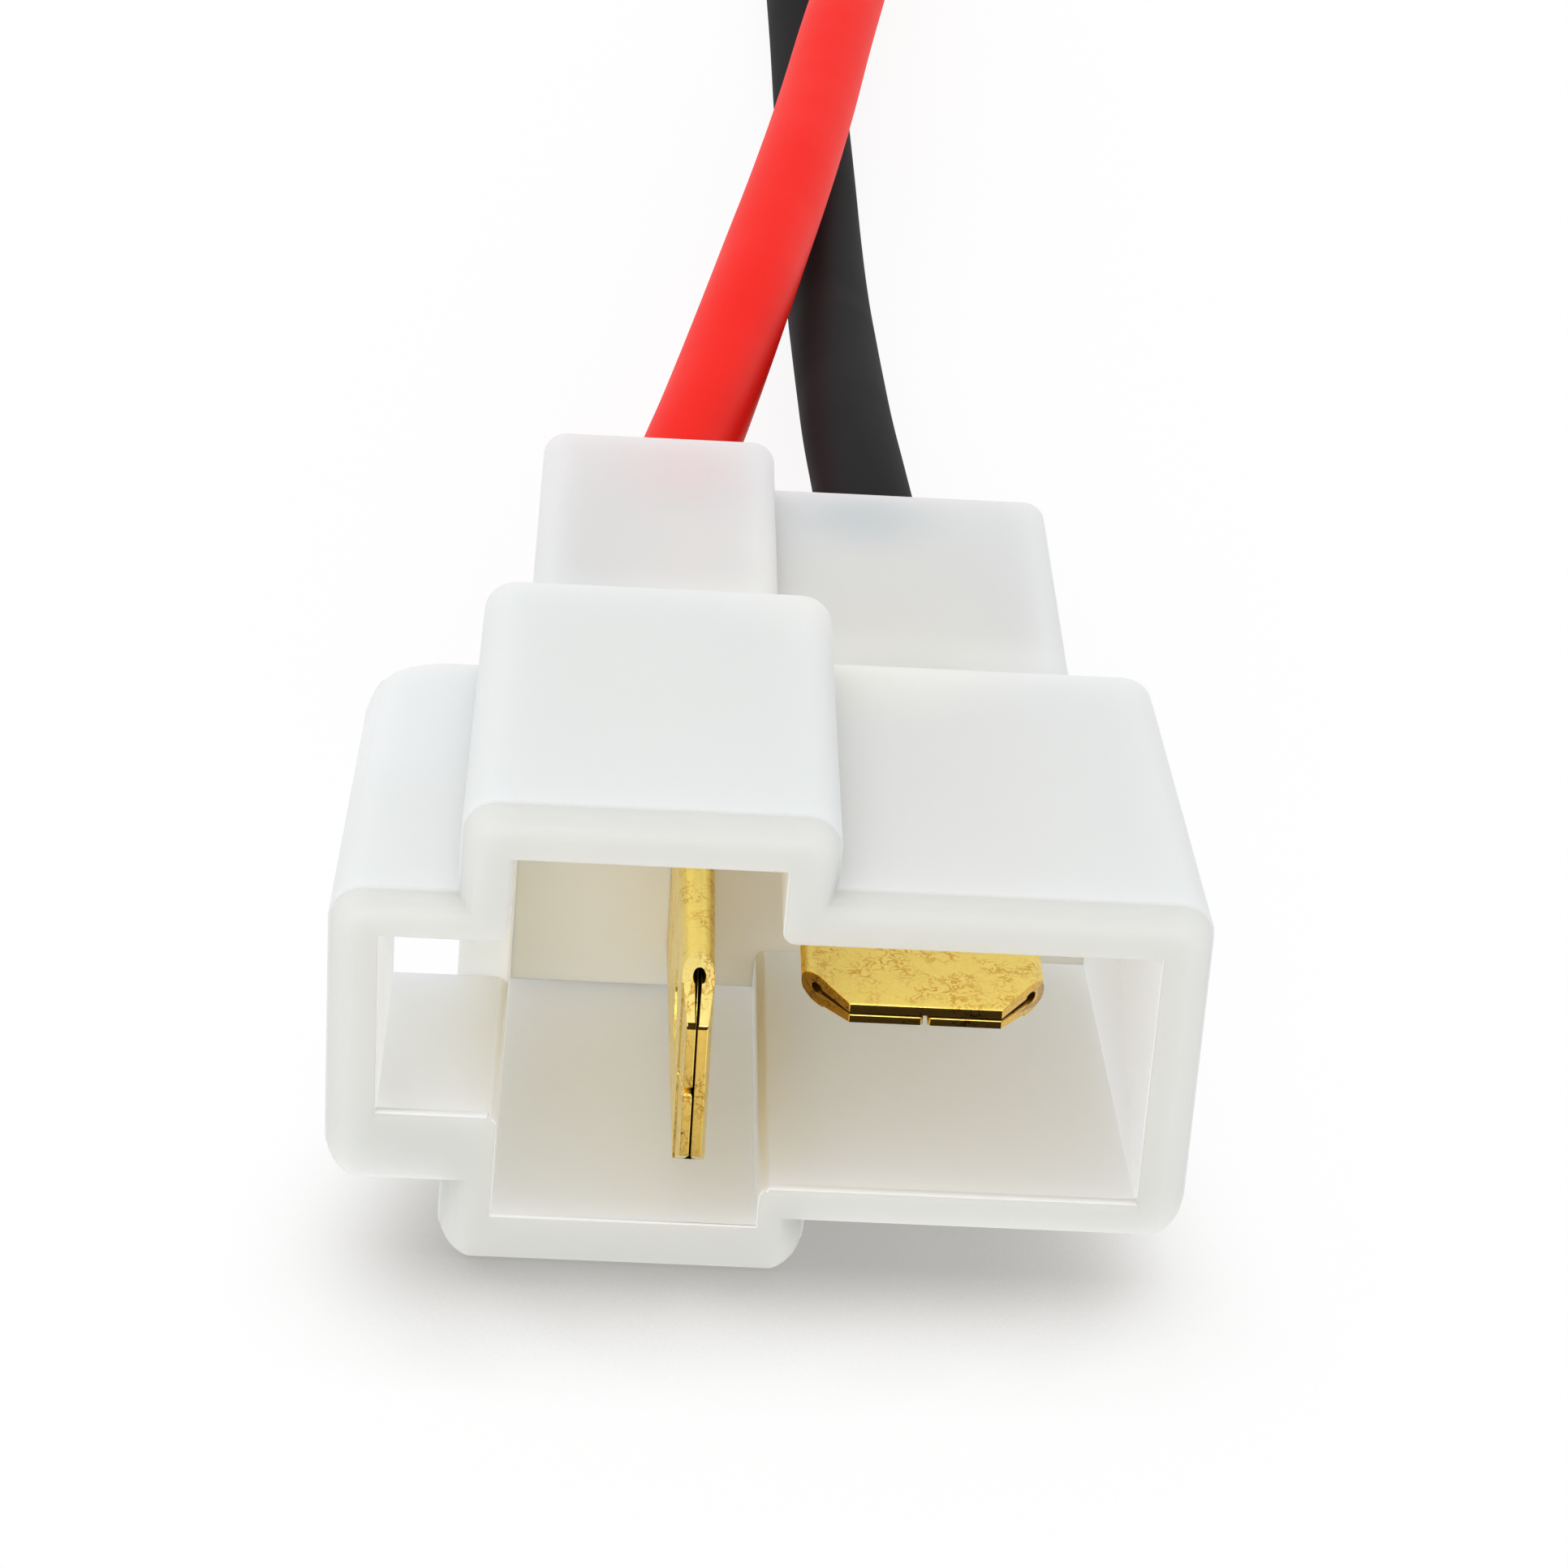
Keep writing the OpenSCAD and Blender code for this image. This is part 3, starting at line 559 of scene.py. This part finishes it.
# the middle plane between the strip's two layers
def bladeMiddle(bm, outwards):
    heights = [v.co @ outwards for v in bm.verts if v.co.y < terminalSet["tip"] * mm]
    return (min(heights) + max(heights)) / 2


# the layers are pressed together at the very tip
def closeTip(bm, outwards):
    middle = bladeMiddle(bm, outwards)
    for vert in bm.verts:
        lift = vert.co @ outwards - middle
        if vert.co.y < terminalSet["closed"] * mm and abs(lift) < terminalSet["seam"] * mm:
            vert.co -= outwards * lift * (1 - terminalSet["close"])


# skins: 0 rolled faces, 1 the sheared tip, 2 its chamfers, 3 the slit between the layers and the worn
# corner; 3 and, on the flat tab, 1 are painted dark as shade and dark reflection
def sortFaces(bm, outwards, across):
    tip, blade, slit = [terminalSet[k] * mm for k in ("tip", "blade", "slit")]
    middle = bladeMiddle(bm, outwards)
    for face in bm.faces:
        centre = face.calc_center_median()
        lift = centre @ outwards - middle
        rise = face.normal @ outwards
        slope = abs(face.normal @ across)
        above = centre @ across > terminalSet["cornerAbove"] * mm
        if above and face.normal.y < -0.8 and 0.1 < slope < 0.55:
            face.material_index = 3
        elif centre.y < tip and face.normal.y < -0.3 and slope < 0.3:
            face.material_index = 0 if rise > 0.3 else 1
        elif centre.y < blade and abs(lift) < slit and lift * rise < 0:
            face.material_index = 3
        elif centre.y < tip and face.normal.y < -0.4:
            face.material_index = 2


# a tab from its imported node: pressed and rolled at the tip, its edges broken, its faces sorted by finish
# and by painted shade
def makeTerminal(name, tabSet):
    outwards, across = Vector(tabSet["outwards"]), Vector(tabSet["across"])
    bm = copyNode(tabSet["node"], terminalSet)
    closeTip(bm, outwards)
    if tabSet["corner"]:
        roundCorner(bm, across, tabSet["corner"])
    rollTip(bm, outwards)
    breakEdges(bm, terminalSet)
    sortFaces(bm, outwards, across)
    skins = [rolledBrass]
    for kind, word in (("front", "ShearedAndDarkReflectionBrass"), ("cut", "CutBrass"), ("inner", "PaintedShadeBrass")):
        skins.append(brassMaterial(name + word, *tabSet[kind], terminalSet["roughness"][kind]))
    piece = placePiece(name, bm, skins, smoothAngle=40)
    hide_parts(tabSet["node"])
    return piece


rolledBrass = brassMaterial("rolledBrass", *terminalSet["rolled"], terminalSet["roughness"]["rolled"])
uprightTab = makeTerminal("uprightTab", terminalSet["upright"])
flatTab = makeTerminal("flatTab", terminalSet["flat"])
print("terminals finished", len(uprightTab.data.polygons), len(flatTab.data.polygons))


# the rays that show the white surroundings: seen directly, mirrored or through
def showsRoom(tree):
    ray = addNode(tree, "ShaderNodeLightPath")
    mirrored = addNode(tree, "ShaderNodeMath", settings={"operation": "MAXIMUM"},
                       links={0: ray.outputs["Is Camera Ray"], 1: ray.outputs["Is Glossy Ray"]})
    return addNode(tree, "ShaderNodeMath", settings={"operation": "MAXIMUM"},
                   links={0: mirrored.outputs["Value"], 1: ray.outputs["Is Transmission Ray"]})


# floor: a white light table, which glows a little from below; the soft shadow in front of the part is a
# painted shadow, drawn into the glow from an occlusion measure and a pool around a given middle, and tinted
# warm
floorSet = {
    "half": 1500, "drop": 0.01, "contact": 6.6,     # mm
    "middle": (0.3, -16), "around": (15.5, 17.5),   # where the shadow falls, mm
    "card": "#DDDDDD", "seen": "#5A5A5A", "warm": "#FFFAEF", "table": 0.28, "glow": 0.9,
    "lean": 0.7, "closed": 0.4, "open": 0.9, "core": 0.5, "darkest": 0.39,
}
bm = bmesh.new()
bmesh.ops.create_grid(bm, x_segments=2, y_segments=2, size=floorSet["half"] * mm,
                      matrix=Matrix.Translation((0, 0, -floorSet["drop"] * mm)))
floorMesh = bpy.data.meshes.new("floor")
bm.to_mesh(floorMesh)
bm.free()
acrylic, tree = newMaterial("opalAcrylic")
shown = showsRoom(tree)
place = addNode(tree, "ShaderNodeTexCoord")
backwards = addNode(tree, "ShaderNodeCombineXYZ", values={"Y": floorSet["lean"], "Z": 1 - floorSet["lean"]})
nearby = addNode(tree, "ShaderNodeAmbientOcclusion", settings={"samples": 8},
                 values={"Distance": floorSet["contact"] * mm},
                 links={"Normal": backwards.outputs["Vector"]})
spread = addNode(tree, "ShaderNodeMapping",
                 values={"Location": [-m / a for m, a in zip(floorSet["middle"], floorSet["around"])] + [0],
                         "Scale": [1 / (a * mm) for a in floorSet["around"]] + [0]},
                 links={"Vector": place.outputs["Object"]})
pool = addNode(tree, "ShaderNodeTexGradient", settings={"gradient_type": "SPHERICAL"},
               links={"Vector": spread.outputs["Vector"]})
# painted shadow: the glow is dimmed near the part, most within the pool, and tinted warm where it is dimmed
deepest = addNode(tree, "ShaderNodeMapRange", settings={"interpolation_type": "SMOOTHSTEP"},
                  values={"From Max": floorSet["core"], "To Min": 1, "To Max": floorSet["darkest"]},
                  links={"Value": pool.outputs["Fac"]})
shadow = addNode(tree, "ShaderNodeMapRange",
                 values={"From Min": floorSet["closed"], "From Max": floorSet["open"]},
                 links={"Value": nearby.outputs["AO"], "To Min": deepest.outputs["Result"]})
glow = addNode(tree, "ShaderNodeMath", settings={"operation": "MULTIPLY"},
               values={1: floorSet["glow"]}, links={0: shadow.outputs["Result"]})
given = addNode(tree, "ShaderNodeMapRange", values={"To Min": floorSet["table"]},
                links={"Value": shown.outputs["Value"], "To Max": glow.outputs["Value"]})
paintedShadowColour = addNode(tree, "ShaderNodeMix", settings={"data_type": "RGBA"},
                values={6: colour(floorSet["warm"]), 7: (1, 1, 1, 1)},
                links={"Factor": shadow.outputs["Result"]})
lit = addNode(tree, "ShaderNodeEmission",
              links={"Color": paintedShadowColour.outputs[2], "Strength": given.outputs["Result"]})
tone = addNode(tree, "ShaderNodeMix", settings={"data_type": "RGBA"},
               values={6: colour(floorSet["card"]), 7: colour(floorSet["seen"])},
               links={"Factor": shown.outputs["Value"]})
matte = addNode(tree, "ShaderNodeBsdfDiffuse", links={"Color": tone.outputs[2]})
both = addNode(tree, "ShaderNodeAddShader", links={0: matte.outputs["BSDF"], 1: lit.outputs["Emission"]})
addNode(tree, "ShaderNodeOutputMaterial", links={"Surface": both.outputs["Shader"]})
floorMesh.materials.append(acrylic)
floor = bpy.data.objects.new("floor", floorMesh)
scene.collection.objects.link(floor)

# light: an even white room, a broad lamp from behind and above, and a low fill from the camera's side
lightSet = {
    "room": 0.73,
    "lamps": {"overheadLamp": (0.55, 60, (-20, -12, 0)), "frontFill": (1.05, 50, (76, 0, -8))},
}
world = bpy.data.worlds.new("room")
world.use_nodes = True
tree = world.node_tree
tree.nodes.clear()
level = addNode(tree, "ShaderNodeMapRange", values={"To Min": lightSet["room"], "To Max": 1.0},
                links={"Value": showsRoom(tree).outputs["Value"]})
sky = addNode(tree, "ShaderNodeBackground", values={"Color": (1, 1, 1, 1)},
              links={"Strength": level.outputs["Result"]})
addNode(tree, "ShaderNodeOutputWorld", links={"Surface": sky.outputs["Background"]})
scene.world = world
for name, (energy, spread, tilt) in lightSet["lamps"].items():
    lampData = bpy.data.lights.new(name, "SUN")
    lampData.energy = energy
    lampData.angle = radians(spread)
    lamp = bpy.data.objects.new(name, lampData)
    lamp.rotation_euler = [radians(a) for a in tilt]
    scene.collection.objects.link(lamp)
scene.view_settings.view_transform = "Standard"
print("floor and light set")
